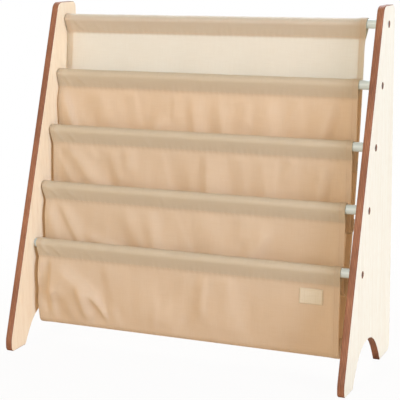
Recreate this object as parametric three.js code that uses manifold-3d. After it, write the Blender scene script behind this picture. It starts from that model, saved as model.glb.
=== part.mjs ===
// Sling bookshelf for a child's room, in millimetres: two leaning plywood sides, five white cross rods
// and a canvas sling that hangs from the rods as a back sheet with four book pockets.
// X runs across the shelf, -Y is the front and +Z is up. The origin is on the floor, under the middle.

import * as THREE from "three";
import { mergeVertices } from "three/addons/utils/BufferGeometryUtils.js";
import Module from "manifold-3d";

const wasm = await Module();
wasm.setup();

// Overall sizes
const width = 630; // over the outer faces of the two sides
const height = 610;
const floorDepth = 275.3; // from the front edge's line to the back edge, on the floor
const topDepth = 64; // and at the top
const seatGap = 0.3; // clearance between pieces that touch
const overrun = 2; // how far a cutter runs past the face it cuts

// Side panels
const panelThickness = 12;
const topCornerRadius = 15;
const topBackRadius = 12;
const frontFootRadius = 8;
const toeSetback = 7.3; // from the front edge's line back to the toe, which stands upright
const toeNoseRadius = 40; // where the leaning edge turns upright
const backFootRadius = 16;
const edgeChamfer = 0.8;
const frontFootLength = 47; // from the front of the foot to the arch, on the floor
const archWidth = 158.5;
const archHeight = 60.3;
const archCrownShare = 0.515; // where the crown stands, as a share of the arch's width
const archFootShares = { along: 0.215, up: 0.45 }; // curve handle of the front flank
const archShoulderShare = 0.4; // curve handle of the crown, towards the front foot
const archHaunchShare = 0.46; // and towards the back foot
const archHeelShares = { along: 0.26, up: 0.6 }; // curve handle of the back flank
const outlineSegments = 7; // facets in half an arc and in each flank of the arch

// Cross rods: steel tube with a threaded plug in each end
const rodCount = 5;
const rodDiameter = 16;
const rodWall = 1.2;
const topRodDrop = 31.5; // from the panels' top down to the top rod's axis
const lowestRodHeight = 180.5;
const rodSetback = 37.4; // from the front edge to a rod's axis, square to the edge
const rodSegments = 24;

const plugFlangeThickness = 1.5;
const plugLength = 24; // of the shank inside the tube
const plugLeadIn = 1.5; // taper on the end that goes in first
const plugSegments = 12;

// Screws: socket heads sunk in the sides
const screwDiameter = 6;
const screwLength = 26; // under the head
const headDiameter = 10.4;
const headHeight = 3.4;
const headRounding = 1;
const socketAcrossCorners = 4.6;
const socketDepth = 1.8;
const screwSegments = 12;
const recessDiameter = 12.5;
const recessDepth = 5;
const recessSegments = 16;

// Canvas sling
const clothThickness = 1.2;
const bareRod = 28; // length of rod that the sling leaves free
const slideGap = 0.5; // the sling has slid along its rods to the left side, up to this
const edgeDraw = 5; // how far a cloth's left edge draws in below its sleeve
const sleeveClearance = 1.3; // slack of a sleeve round its rod
const sleeveDrop = 25; // from a rod's axis down to the seam that closes its sleeve
const sleeveSegments = 4; // facets of the sleeve's half round, on each side of its top
const pocketDepth = 148; // from a pocket's rod down to the lowest point of the pocket
const pocketLean = 4; // how far a pocket front's seam lies in front of its rod's axis
const pocketBelly = 9; // and its belly
const pocketFloor = 36; // from front to back at the foot of the lowest pocket
const hemHeight = 14; // what is sewn up against the back sheet
const sheetLean = 1; // how far the back sheet's seam lies in front of the top rod's axis
const sheetBowShare = 0.5; // how much of the back sheet's way forward comes from its bow
const topLevels = 3; // facets of the back sheet above the first pocket's hem
const sheetLevels = 2; // and between one hem and the next
const fallLevels = 5; // facets of a pocket front from its seam to its foot
const floorSegments = 4; // and round its foot
const foldSteps = 20; // stations of a cloth's folds, across the shelf
const frontFoldDepth = 3;
const backFoldDepth = 2;
const foldInShare = 0.5; // share of a pocket front's fall over which its folds come up below the seam
const foldOutShare = 0.33; // and over which they die out at its foot
const creaseDepth = 3.5; // diagonal crease from a pocket's upper left corner
const creaseWidth = 24;
const creaseReachShare = 0.17; // how far it runs across, as a share of the sling's width
const foldWaves = [
  { folds: 4, turnShare: 0.1 },
  { folds: 5, turnShare: 0.55 },
]; // waves across the sling, and where each starts as a share of a wave
const tierTurnShare = 0.37; // how far the folds move on from one tier to the next, of a wave
const calmEdge = 75; // width at the right edge, round the label, that hangs without folds
const calmFade = 80; // and the width over which the folds die out towards it

// Label on the lowest pocket front, bare
const labelWidth = 42;
const labelHeight = 26;
const labelThickness = 0.8;
const labelInset = 26; // from the sling's right edge
const labelDrop = 31; // from the rod's axis to the label's top

// Finishes
const finishes = {
  plywood: { color: "#f3dfc2", roughness: 0.55, metalness: 0 },
  rod: { color: "#e4e6e2", roughness: 0.35, metalness: 0 },
  plug: { color: "#d9dad6", roughness: 0.5, metalness: 0 },
  screw: { color: "#b9b7b2", roughness: 0.3, metalness: 1 },
  canvas: { color: "#d8bd97", roughness: 0.9, metalness: 0 },
  label: { color: "#e2d9bb", roughness: 0.85, metalness: 0 },
};

// The front edge's line meets the floor in front of the upright toe, which is where the overall depth ends.
const frontLeanAngle = Math.atan((floorDepth - topDepth) / height);
const depth = floorDepth - toeSetback;
const backEdge = depth / 2;
const frontAtFloor = backEdge - floorDepth;
const innerFace = width / 2 - panelThickness;
const rodPitch = (height - topRodDrop - lowestRodHeight) / (rodCount - 1);

function frontEdgeAt(z) {
  return frontAtFloor + z * Math.tan(frontLeanAngle);
}

// Axis of a rod in side view; rod 0 is the top one.
function rodAxis(index) {
  const z = lowestRodHeight + (rodCount - 1 - index) * rodPitch;
  return new THREE.Vector2(frontEdgeAt(z) + rodSetback / Math.cos(frontLeanAngle), z);
}

// Helpers for shapes drawn in side view, where a shape's x is the depth and its y the height

// Takes a path to a corner and turns it there with an arc towards the next point.
function turnCorner(path, corner, next, radius) {
  const inward = path.currentPoint.clone().sub(corner).normalize();
  const onward = next.clone().sub(corner).normalize();
  const halfAngle = Math.acos(inward.dot(onward)) / 2;
  const reach = radius / Math.tan(halfAngle);
  const start = corner.clone().addScaledVector(inward, reach);
  const end = corner.clone().addScaledVector(onward, reach);
  const bisector = inward.clone().add(onward).normalize();
  const centre = corner.clone().addScaledVector(bisector, radius / Math.sin(halfAngle));
  path.absarc(centre.x, centre.y, radius, start.sub(centre).angle(), end.sub(centre).angle(), false);
}

// Turns a side view that was extruded along its own z into one that runs across the shelf.
function layAcross(geometry, from) {
  const across = new THREE.Matrix4().makeBasis(
    new THREE.Vector3(0, 1, 0),
    new THREE.Vector3(0, 0, 1),
    new THREE.Vector3(1, 0, 0),
  );
  return geometry.applyMatrix4(across).translate(from, 0, 0);
}

// Revolves a profile of (radius, place along X) points about the X axis.
function revolveAlongX(profile, segments) {
  const points = profile.map(([radius, along]) => new THREE.Vector2(radius, along));
  return new THREE.LatheGeometry(points, segments).rotateZ(-Math.PI / 2);
}

function toSolid(geometry) {
  const bare = new THREE.BufferGeometry();
  bare.setAttribute("position", geometry.getAttribute("position"));
  if (geometry.index) bare.setIndex(geometry.index);
  const merged = mergeVertices(bare);
  return new wasm.Manifold(
    new wasm.Mesh({
      numProp: 3,
      vertProperties: merged.getAttribute("position").array,
      triVerts: new Uint32Array(merged.index.array),
    }),
  );
}

function toGeometry(solid) {
  const mesh = solid.getMesh();
  const geometry = new THREE.BufferGeometry();
  geometry.setAttribute("position", new THREE.BufferAttribute(mesh.vertProperties, mesh.numProp));
  geometry.setIndex(new THREE.BufferAttribute(mesh.triVerts, 1));
  return geometry;
}

function namedMesh(name, geometry, finish) {
  geometry.computeVertexNormals();
  const mesh = new THREE.Mesh(geometry, new THREE.MeshStandardMaterial(finishes[finish]));
  mesh.name = name;
  return mesh;
}

// Side panels

// Outline of a side panel, from the toe round the back and along the arch to the toe again.
function panelOutline() {
  const toe = new THREE.Vector2(-depth / 2, 0);
  const nose = new THREE.Vector2(-depth / 2, toeSetback / Math.tan(frontLeanAngle));
  const heel = new THREE.Vector2(backEdge, 0);
  const backTop = new THREE.Vector2(backEdge, height);
  const frontTop = new THREE.Vector2(frontEdgeAt(height), height);
  const archFront = -depth / 2 + frontFootLength;
  const archBack = archFront + archWidth;
  const crown = archFront + archWidth * archCrownShare;
  const rise = crown - archFront;
  const fall = archBack - crown;

  const outline = new THREE.Shape();
  outline.moveTo(archBack, 0);
  turnCorner(outline, heel, backTop, backFootRadius);
  turnCorner(outline, backTop, frontTop, topBackRadius);
  turnCorner(outline, frontTop, nose, topCornerRadius);
  turnCorner(outline, nose, toe, toeNoseRadius);
  turnCorner(outline, toe, heel, frontFootRadius);
  outline.lineTo(archFront, 0);
  outline.bezierCurveTo(
    archFront + rise * archFootShares.along,
    archHeight * archFootShares.up,
    archFront + rise * archShoulderShare,
    archHeight,
    crown,
    archHeight,
  );
  outline.bezierCurveTo(
    crown + fall * archHaunchShare,
    archHeight,
    archBack - fall * archHeelShares.along,
    archHeight * archHeelShares.up,
    archBack,
    0,
  );
  return outline;
}

// The hole that a screw needs in a right-hand panel: a clearance hole and a round recess from outside.
function screwCutter() {
  const holeRadius = screwDiameter / 2 + seatGap;
  const recessRadius = recessDiameter / 2;
  const recessFloor = width / 2 - recessDepth;
  return revolveAlongX(
    [
      [0, innerFace - overrun],
      [holeRadius, innerFace - overrun],
      [holeRadius, recessFloor],
      [recessRadius, recessFloor],
      [recessRadius, width / 2 + overrun],
      [0, width / 2 + overrun],
    ],
    recessSegments,
  );
}

function rightPanelGeometry() {
  const board = new THREE.ExtrudeGeometry(panelOutline(), {
    depth: panelThickness - 2 * edgeChamfer,
    steps: 1,
    curveSegments: outlineSegments,
    bevelSegments: 1,
    bevelSize: edgeChamfer,
    bevelThickness: edgeChamfer,
    bevelOffset: -edgeChamfer,
  });
  let panel = toSolid(layAcross(board, innerFace + edgeChamfer));
  for (let index = 0; index < rodCount; index++) {
    const axis = rodAxis(index);
    panel = panel.subtract(toSolid(screwCutter().translate(0, axis.x, axis.y)));
  }
  return toGeometry(panel);
}

// Rods, plugs and screws. Each is made along X at the right-hand end and turned round for the left.

const plugFace = innerFace - seatGap; // the flange bears on the panel here
const tubeEnd = plugFace - plugFlangeThickness - seatGap;
const boreRadius = rodDiameter / 2 - rodWall;

function tubeGeometry() {
  const rodRadius = rodDiameter / 2;
  return revolveAlongX(
    [
      [boreRadius, -tubeEnd],
      [rodRadius, -tubeEnd],
      [rodRadius, tubeEnd],
      [boreRadius, tubeEnd],
      [boreRadius, -tubeEnd],
    ],
    rodSegments,
  );
}

// End plug: a flange that covers the tube's end, and a shank with a through hole for the screw.
function plugGeometry() {
  const shankRadius = boreRadius - seatGap;
  const holeRadius = screwDiameter / 2 + seatGap;
  const shankStart = plugFace - plugFlangeThickness;
  const shankEnd = shankStart - plugLength;
  return revolveAlongX(
    [
      [holeRadius, shankEnd],
      [shankRadius - plugLeadIn, shankEnd],
      [shankRadius, shankEnd + plugLeadIn],
      [shankRadius, shankStart],
      [rodDiameter / 2, shankStart],
      [rodDiameter / 2, plugFace],
      [holeRadius, plugFace],
      [holeRadius, shankEnd],
    ],
    plugSegments,
  );
}

function screwGeometry() {
  const headSeat = width / 2 - recessDepth + seatGap;
  const headTop = headSeat + headHeight;
  const screw = revolveAlongX(
    [
      [0, headSeat - screwLength],
      [screwDiameter / 2, headSeat - screwLength],
      [screwDiameter / 2, headSeat],
      [headDiameter / 2, headSeat],
      [headDiameter / 2, headTop - headRounding],
      [headDiameter / 2 - headRounding, headTop],
      [0, headTop],
    ],
    screwSegments,
  );
  const socketRadius = socketAcrossCorners / 2;
  const hexagonSides = 6;
  const socket = revolveAlongX(
    [
      [0, headTop - socketDepth],
      [socketRadius, headTop - socketDepth],
      [socketRadius, headTop + overrun],
      [0, headTop + overrun],
    ],
    hexagonSides,
  );
  return toGeometry(toSolid(screw).subtract(toSolid(socket)));
}

// The sling

const slingLeft = slideGap - innerFace;
const slingWidth = 2 * innerFace - bareRod;
const slingRight = slingLeft + slingWidth;
const sleeveInnerRadius = rodDiameter / 2 + sleeveClearance;
const lowestTier = rodCount - 1;
const slingBottom = rodAxis(lowestTier).y - pocketDepth;
const sheetTop = new THREE.Vector2(rodAxis(0).x - sheetLean, rodAxis(0).y - sleeveDrop);
const sheetFoot = new THREE.Vector2(
  rodAxis(lowestTier).x - pocketBelly + pocketFloor,
  slingBottom + pocketFloor / 2,
);

// Middle of the back sheet in side view: it leaves its seam nearly upright and bows forward to its foot.
function backSheetAt(z) {
  const down = (sheetTop.y - z) / (sheetTop.y - sheetFoot.y);
  const forward = (1 - sheetBowShare) * down + sheetBowShare * down * down;
  return THREE.MathUtils.lerp(sheetTop.x, sheetFoot.x, forward);
}

// How far the back sheet leans from upright at a height, as an angle.
function backSheetLean(z) {
  const down = (sheetTop.y - z) / (sheetTop.y - sheetFoot.y);
  const steepening = 1 - sheetBowShare + 2 * sheetBowShare * down;
  return Math.atan((steepening * (sheetTop.x - sheetFoot.x)) / (sheetTop.y - sheetFoot.y));
}

// Where a pocket's foot lies. It is a round that touches the pocket's front and the back sheet, and the
// hem is sewn up the back sheet from there.
function pocketFoot(tier) {
  const axis = rodAxis(tier);
  const bottom = axis.y - pocketDepth;
  const front = axis.x - pocketBelly;
  const lean = backSheetLean(bottom);
  const behind = (clothThickness + seatGap) / Math.cos(lean); // from the hem back to the sheet
  const room = (backSheetAt(bottom) - behind - front) * Math.cos(lean);
  const radius = room / (1 + Math.cos(lean) - Math.sin(lean));
  const hemStart = bottom + radius * (1 - Math.sin(lean));
  return { axis, bottom, front, lean, behind, radius, hemStart, hemEnd: hemStart + hemHeight };
}

// Middle line of a pocket front: down over the belly, round the foot and up the back sheet.
function pocketMiddle(tier) {
  const { axis, bottom, front, lean, behind, radius, hemEnd } = pocketFoot(tier);
  const seam = new THREE.Vector2(axis.x - pocketLean, axis.y - sleeveDrop);
  const centre = new THREE.Vector2(front + radius, bottom + radius);
  const middle = [];
  for (let i = 0; i < fallLevels; i++) {
    const down = i / fallLevels;
    const forward = down * (2 - down);
    middle.push(new THREE.Vector2(
      THREE.MathUtils.lerp(seam.x, front, forward),
      THREE.MathUtils.lerp(seam.y, centre.y, down),
    ));
  }
  for (let i = 0; i <= floorSegments; i++) {
    const turn = (Math.PI - lean) * (i / floorSegments);
    middle.push(new THREE.Vector2(
      centre.x - radius * Math.cos(turn),
      centre.y - radius * Math.sin(turn),
    ));
  }
  middle.push(new THREE.Vector2(backSheetAt(hemEnd) - behind, hemEnd));
  return middle;
}

// Middle line of the back sheet, with a level at both ends of each pocket's hem.
function sheetMiddle() {
  const levels = [sheetTop.y];
  for (let tier = 1; tier < rodCount; tier++) {
    const { hemStart, hemEnd } = pocketFoot(tier);
    const above = levels.at(-1);
    const steps = tier === 1 ? topLevels : sheetLevels;
    for (let i = 1; i <= steps; i++) levels.push(THREE.MathUtils.lerp(above, hemEnd, i / steps));
    levels.push(hemStart);
  }
  return levels.map((z) => new THREE.Vector2(backSheetAt(z), z));
}

// Both faces of a strip of cloth in side view, half its thickness from its middle line.
function stripFaces(middle, thickness) {
  const normals = middle.map((point, i) => {
    const before = middle[Math.max(i - 1, 0)];
    const after = middle[Math.min(i + 1, middle.length - 1)];
    return new THREE.Vector2(after.y - before.y, before.x - after.x).normalize();
  });
  const face = (side) => middle.map((point, i) =>
    point.clone().addScaledVector(normals[i], (side * thickness) / 2));
  return { front: face(1), back: face(-1) };
}

// Side view of a cloth that hangs from a rod: its sleeve round the rod and the cloth below the seam.
function hungClothShape(axis, middle) {
  const { front, back } = stripFaces(middle, clothThickness);
  const roundHeight = axis.y + rodDiameter / 2 + seatGap - sleeveInnerRadius;
  const halfRound = (radius) => Array.from({ length: 2 * sleeveSegments + 1 }, (_, i) => {
    const turn = (Math.PI * i) / (2 * sleeveSegments);
    return new THREE.Vector2(axis.x + radius * Math.cos(turn), roundHeight + radius * Math.sin(turn));
  });
  const outside = halfRound(sleeveInnerRadius + clothThickness);
  const shape = new THREE.Shape([...outside, ...front, ...back.reverse()]);
  const closing = new THREE.Vector2(middle[0].x, middle[0].y + 2 * clothThickness);
  shape.holes.push(new THREE.Path([...halfRound(sleeveInnerRadius), closing]));
  return shape;
}

function smoothRise(value) {
  return THREE.MathUtils.smoothstep(value, 0, 1);
}

// Waves across the sling, between -1 and 1, that move on from tier to tier and die out at the right edge.
function foldWave(x, tier) {
  const across = (x - slingLeft) / slingWidth;
  const heights = foldWaves.map(({ folds, turnShare }) =>
    Math.cos(2 * Math.PI * (folds * across + turnShare + tier * tierTurnShare)));
  const calm = smoothRise((slingRight - calmEdge - x) / calmFade);
  return (calm * heights.reduce((sum, height) => sum + height, 0)) / heights.length;
}

// How far the back sheet's folds push it forward. It swells between one seam across it and the next.
function backFold(x, z) {
  for (let tier = 1; tier < rodCount; tier++) {
    const upperSeam = tier === 1 ? sheetTop.y : pocketFoot(tier - 1).hemStart;
    const lowerSeam = pocketFoot(tier).hemEnd;
    if (z < upperSeam && z > lowerSeam) {
      const between = (upperSeam - z) / (upperSeam - lowerSeam);
      return backFoldDepth * Math.sin(Math.PI * between) ** 2 * foldWave(x, 0);
    }
  }
  return 0;
}

// How far a pocket front's folds push it forward. They die out round its foot, and its hem lies flat.
function pocketFold(x, y, z, tier) {
  const { axis, front, radius, hemEnd } = pocketFoot(tier);
  const down = (axis.y - sleeveDrop - z) / (pocketDepth - sleeveDrop);
  const swell = smoothRise(down / foldInShare) * smoothRise((1 - down) / foldOutShare);
  const creaseMiddle = slingLeft + down * slingWidth * creaseReachShare;
  const crease = creaseDepth * Math.exp(-(((x - creaseMiddle) / creaseWidth) ** 2));
  const roundFoot = z < hemEnd + clothThickness ? smoothRise((y - front) / (2 * radius)) : 0;
  return (1 - roundFoot) * swell * (frontFoldDepth * foldWave(x, tier) + crease);
}

// Draws a cloth's left edge in below its sleeve, less and less towards the right edge.
function drawnIn(x, drop) {
  return x + edgeDraw * smoothRise(drop / sleeveDrop) * ((slingRight - x) / slingWidth);
}

// Extrudes a side view across the sling and pushes its folds forward.
function foldedCloth(shape, left, right, steps, tier, foldAt) {
  const extruded = new THREE.ExtrudeGeometry(shape, { depth: right - left, steps, bevelEnabled: false });
  const cloth = layAcross(extruded, left);
  const places = cloth.getAttribute("position");
  const axisHeight = rodAxis(tier).y;
  for (let i = 0; i < places.count; i++) {
    const [x, y, z] = [places.getX(i), places.getY(i), places.getZ(i)];
    places.setXYZ(i, drawnIn(x, axisHeight - z), y - foldAt(x, y, z), z);
  }
  return cloth;
}

function backSheetGeometry() {
  const shape = hungClothShape(rodAxis(0), sheetMiddle());
  const foldAt = (x, y, z) => backFold(x, z);
  return foldedCloth(shape, slingLeft, slingRight, foldSteps, 0, foldAt);
}

function pocketFrontGeometry(tier) {
  const shape = hungClothShape(rodAxis(tier), pocketMiddle(tier));
  const foldAt = (x, y, z) => pocketFold(x, y, z, tier);
  return foldedCloth(shape, slingLeft, slingRight, foldSteps, tier, foldAt);
}

// Place of a middle line at a height, between the two levels round it.
function middleAt(middle, z) {
  const below = middle.findIndex((point) => point.y <= z);
  const [high, low] = [middle[below - 1], middle[below]];
  return THREE.MathUtils.mapLinear(z, high.y, low.y, high.x, low.x);
}

// Woven label, sewn flat on the lowest pocket front.
function labelGeometry() {
  const pocket = pocketMiddle(lowestTier);
  const top = rodAxis(lowestTier).y - labelDrop;
  const bottom = top - labelHeight;
  const inFront = (clothThickness + labelThickness) / 2 + seatGap;
  const levels = [top, ...pocket.map((point) => point.y).filter((z) => z < top && z > bottom), bottom];
  const middle = levels.map((z) => new THREE.Vector2(middleAt(pocket, z) - inFront, z));
  const { front, back } = stripFaces(middle, labelThickness);
  const shape = new THREE.Shape([...front, ...back.reverse()]);
  const right = slingRight - labelInset;
  const foldAt = (x, y, z) => pocketFold(x, y, z, lowestTier);
  return foldedCloth(shape, right - labelWidth, right, 1, lowestTier, foldAt);
}

// Assembly

const shelf = new THREE.Group();

const rightPanel = rightPanelGeometry();
shelf.add(namedMesh("side_panel_right", rightPanel, "plywood"));
const leftPanel = namedMesh("side_panel_left", rightPanel.clone(), "plywood");
leftPanel.scale.x = -1;
shelf.add(leftPanel);

for (let index = 0; index < rodCount; index++) {
  const axis = rodAxis(index);
  const rodGroup = new THREE.Group();
  rodGroup.position.set(0, axis.x, axis.y);
  const number = index + 1;
  rodGroup.add(namedMesh(`rod_${number}`, tubeGeometry(), "rod"));
  for (const side of ["right", "left"]) {
    const end = new THREE.Group();
    end.rotation.z = side === "left" ? Math.PI : 0;
    end.add(namedMesh(`end_plug_${number}_${side}`, plugGeometry(), "plug"));
    end.add(namedMesh(`screw_${number}_${side}`, screwGeometry(), "screw"));
    rodGroup.add(end);
  }
  shelf.add(rodGroup);
}

shelf.add(namedMesh("back_sheet", backSheetGeometry(), "canvas"));
for (let tier = 1; tier < rodCount; tier++) {
  shelf.add(namedMesh(`pocket_front_${tier}`, pocketFrontGeometry(tier), "canvas"));
}
shelf.add(namedMesh("label", labelGeometry(), "label"));

export default shelf;
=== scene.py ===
# %% [markdown]
# # A sling bookshelf: plywood sides, white rods and hung canvas
#
# The bookshelf is a low one for a child's room. Its two plywood sides have a front edge that leans
# back, five white rods run between them, and a canvas sling hangs from the rods in four pockets.
# The solids are already packed as a frame, so this lesson dresses them: it keeps each piece where
# the frame has it and gives it the finish, the folds and the stitches of the real thing.

# %% Load the frame
import functools
import math

import bmesh
import bpy
from mathutils import Matrix, Vector, noise


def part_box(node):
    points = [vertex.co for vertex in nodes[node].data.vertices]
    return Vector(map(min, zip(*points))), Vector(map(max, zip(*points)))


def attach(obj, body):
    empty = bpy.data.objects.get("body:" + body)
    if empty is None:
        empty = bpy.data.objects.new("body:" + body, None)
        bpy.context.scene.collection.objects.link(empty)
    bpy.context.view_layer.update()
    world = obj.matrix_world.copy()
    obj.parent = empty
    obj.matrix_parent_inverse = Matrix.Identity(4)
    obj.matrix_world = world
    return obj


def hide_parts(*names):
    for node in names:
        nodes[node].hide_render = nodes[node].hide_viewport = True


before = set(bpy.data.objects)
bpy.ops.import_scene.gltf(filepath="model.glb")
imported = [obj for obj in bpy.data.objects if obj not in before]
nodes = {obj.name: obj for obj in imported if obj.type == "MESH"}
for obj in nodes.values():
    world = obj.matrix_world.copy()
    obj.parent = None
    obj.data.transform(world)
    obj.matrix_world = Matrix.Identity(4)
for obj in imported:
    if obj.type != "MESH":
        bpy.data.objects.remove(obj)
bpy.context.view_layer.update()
MM = 0.001
print("the frame holds", len(nodes), "nodes")

# %% [markdown]
# ## Camera
#
# The photograph was taken from the right and a little above, with a long lens. Place, turn and
# focal length come from a fit of the sides, rods and screws to the photograph. The fit also says
# that the picture was cropped: its middle lies a little below the optical axis, which a small
# shift stands for.

# %% Camera
PHOTO_WIDTH = 400  # pixels, and as many high
FOCAL_PIXELS = 1244.8
OPTICAL_ROW = 170  # the row of pixels that the optical axis meets
YAW, PITCH, ROLL = (math.radians(a) for a in (23.92, -10.512, -0.651))
EYE = (0.8710, -1.9420, 0.7221)

lens = bpy.data.cameras.new("photo_camera")
lens.lens = FOCAL_PIXELS / PHOTO_WIDTH * lens.sensor_width
lens.shift_y = (OPTICAL_ROW - PHOTO_WIDTH / 2) / PHOTO_WIDTH
lens.clip_start, lens.clip_end = 0.1, 50
camera = bpy.data.objects.new("photo_camera", lens)
camera.matrix_world = (
    Matrix.Translation(EYE)
    @ Matrix.Rotation(YAW, 4, "Z")
    @ Matrix.Rotation(math.pi / 2 + PITCH, 4, "X")
    @ Matrix.Rotation(ROLL, 4, "Z")
)
bpy.context.scene.collection.objects.link(camera)
bpy.context.scene.camera = camera
bpy.context.scene.view_settings.view_transform = "Standard"
print("lens", round(lens.lens, 1), "mm")

# %% [markdown]
# ## Materials in nodes
#
# Every finish is a small tree of nodes. Two helpers keep the trees short: one turns the hex
# colours that a designer writes into the linear numbers that Blender mixes, and one adds a node
# together with its settings and links.

# %% Helpers for materials
def linear(hex_colour):
    channels = [int(hex_colour[i:i + 2], 16) / 255 for i in (1, 3, 5)]
    return [c / 12.92 if c <= 0.04045 else ((c + 0.055) / 1.055) ** 2.4 for c in channels] + [1]


def add_node(tree, kind, inputs=None, **settings):
    node = tree.nodes.new(kind)
    for name, value in settings.items():
        setattr(node, name, value)
    for name, value in (inputs or {}).items():
        if isinstance(value, bpy.types.NodeSocket):
            tree.links.new(value, node.inputs[name])
        else:
            node.inputs[name].default_value = value
    return node


def new_material(name, **sockets):
    """A material with only a Principled shader, whose sockets are set by name."""
    material = bpy.data.materials.new(name)
    material.use_nodes = True
    shader = material.node_tree.nodes["Principled BSDF"]
    for socket, value in sockets.items():
        shader.inputs[socket.replace("_", " ")].default_value = value
    return material, material.node_tree, shader


def set_ramp(ramp_node, *stops):
    """Gives a Color Ramp node its stops, each a place and a hex colour."""
    ramp = ramp_node.color_ramp
    while len(ramp.elements) < len(stops):
        ramp.elements.new(1)
    for element, (place, hex_colour) in zip(ramp.elements, stops):
        element.position, element.color = place, linear(hex_colour)


# %% [markdown]
# ## Studio
#
# The picture is a cut-out on white with a very soft light. A pale world lights everything evenly,
# a wide cool lamp from the right grazes the cloth and models its folds, a warmer one fills from
# the front, and one from above and behind lets the canvas glow as thin cotton does. The floor is a
# sweep of matt paper that sends a little warm light back. Where the camera looks straight at floor
# or world it sees nearly pure white, and the floor keeps a weak shadow under the feet.

# %% World, lamps and floor
world = bpy.data.worlds.new("white_studio")
bpy.context.scene.world = world
world.use_nodes = True
studio = world.node_tree
rays = add_node(studio, "ShaderNodeLightPath")
seen = add_node(studio, "ShaderNodeMath", {0: rays.outputs["Is Camera Ray"],
                                           1: rays.outputs["Is Glossy Ray"]}, operation="MAXIMUM")
seen = add_node(studio, "ShaderNodeMath", {0: seen.outputs[0],
                                           1: rays.outputs["Is Transmission Ray"]}, operation="MAXIMUM")
light = add_node(studio, "ShaderNodeBackground", {"Color": linear("#fff0e0"), "Strength": 0.42})
white = add_node(studio, "ShaderNodeBackground", {"Color": linear("#ffffff"), "Strength": 1.0})
either = add_node(studio, "ShaderNodeMixShader", {0: seen.outputs[0], 1: light.outputs[0],
                                                  2: white.outputs[0]})
studio.links.new(either.outputs[0], studio.nodes["World Output"].inputs["Surface"])


def add_lamp(name, place, target, size, watts, hex_colour):
    data = bpy.data.lights.new(name, "AREA")
    data.shape, data.size, data.energy = "DISK", size, watts
    data.color = linear(hex_colour)[:3]
    lamp = bpy.data.objects.new(name, data)
    lamp.location = place
    lamp.rotation_euler = (Vector(target) - Vector(place)).to_track_quat("-Z", "Y").to_euler()
    bpy.context.scene.collection.objects.link(lamp)


# place and target in metres, width in metres, watts
add_lamp("right_softbox", (4.5, -1.7, 1.7), (0, 0, 0.3), 2.4, 200, "#d8e5ff")
add_lamp("front_softbox", (-0.9, -4.7, 1.8), (0, 0, 0.3), 1.4, 105, "#ffeedd")
add_lamp("back_softbox", (-0.5, 1.5, 2.1), (0, 0, 0.35), 1.5, 46, "#e8f1ff")

HALF_FLOOR = 4
BELOW_FEET = 0.5 * MM
floor_mesh = bpy.data.meshes.new("floor")
bm = bmesh.new()
bmesh.ops.create_grid(bm, x_segments=1, y_segments=1, size=HALF_FLOOR)
bm.to_mesh(floor_mesh)
bm.free()
floor = bpy.data.objects.new("floor", floor_mesh)
floor.location.z = -BELOW_FEET
bpy.context.scene.collection.objects.link(floor)

paper, tree, shader = new_material("matt_white_paper_sweep", Base_Color=linear("#ddcfbc"),
                                   Roughness=1.0)
rays = add_node(tree, "ShaderNodeLightPath")
place = add_node(tree, "ShaderNodeTexCoord").outputs["Object"]
away = add_node(tree, "ShaderNodeVectorMath", {0: place}, operation="LENGTH")
# the floor under the shelf keeps its shadow, and further out it turns into the white of the world
SHADOW_START, SHADOW_REACH = 0.4, 0.9
WHITE_SHARE = 0.95  # of what the camera sees of the floor under the shelf
fade = add_node(tree, "ShaderNodeMapRange", {"Value": away.outputs["Value"], "From Min": SHADOW_START,
                                             "From Max": SHADOW_REACH, "To Min": WHITE_SHARE,
                                             "To Max": 1.0})
share = add_node(tree, "ShaderNodeMath", {0: rays.outputs["Is Camera Ray"], 1: fade.outputs[0]},
                 operation="MULTIPLY")
glow = add_node(tree, "ShaderNodeEmission", {"Color": linear("#ffffff"), "Strength": 1.0})
mixed = add_node(tree, "ShaderNodeMixShader", {0: share.outputs[0], 1: shader.outputs[0],
                                               2: glow.outputs[0]})
tree.links.new(mixed.outputs[0], tree.nodes["Material Output"].inputs["Surface"])
floor_mesh.materials.append(paper)

# %% [markdown]
# ## Plywood
#
# The sides are 12 mm birch plywood with a clear matt lacquer. Birch is nearly cream, with a fine
# upright grain, so the colour moves only a little, in long streaks. The streaks come from a noise
# that is stretched along the grain. The sawn edges are stained reddish brown: they take the
# stain unevenly from ply to ply, because every second ply shows its end grain.

# %% Birch face
birch, tree, shader = new_material("lacquered_birch_veneer", Roughness=0.5, Coat_Weight=0.12,
                                   Coat_Roughness=0.35)
place = add_node(tree, "ShaderNodeTexCoord").outputs["Object"]
GRAIN_WIDTH = 7 * MM  # growth bands of rotary cut birch, seen from a few steps away
GRAIN_LENGTH = 240 * MM
along = add_node(tree, "ShaderNodeMapping", {"Vector": place, "Scale": (
    1 / GRAIN_WIDTH, 1 / GRAIN_WIDTH, 1 / GRAIN_LENGTH)})
bands = add_node(tree, "ShaderNodeTexNoise", {"Vector": along.outputs[0], "Scale": 1.0, "Detail": 3.0,
                                              "Roughness": 0.55, "Distortion": 0.4})
FIBRE_WIDTH = 1.6 * MM  # real pores are finer, and would not show
FIBRE_LENGTH = 22 * MM
finer = add_node(tree, "ShaderNodeMapping", {"Vector": place, "Scale": (
    1 / FIBRE_WIDTH, 1 / FIBRE_WIDTH, 1 / FIBRE_LENGTH)})
fibres = add_node(tree, "ShaderNodeTexNoise", {"Vector": finer.outputs[0], "Scale": 1.0, "Detail": 2.0})
wood = add_node(tree, "ShaderNodeValToRGB", {"Fac": bands.outputs["Fac"]})
set_ramp(wood, (0.25, "#f4ebdf"), (0.55, "#f9f2e9"), (0.8, "#fbf7f0"))
pores = add_node(tree, "ShaderNodeValToRGB", {"Fac": fibres.outputs["Fac"]})
set_ramp(pores, (0.28, "#f4eade"), (0.5, "#ffffff"))
PORE_SHARE = 0.55
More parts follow.
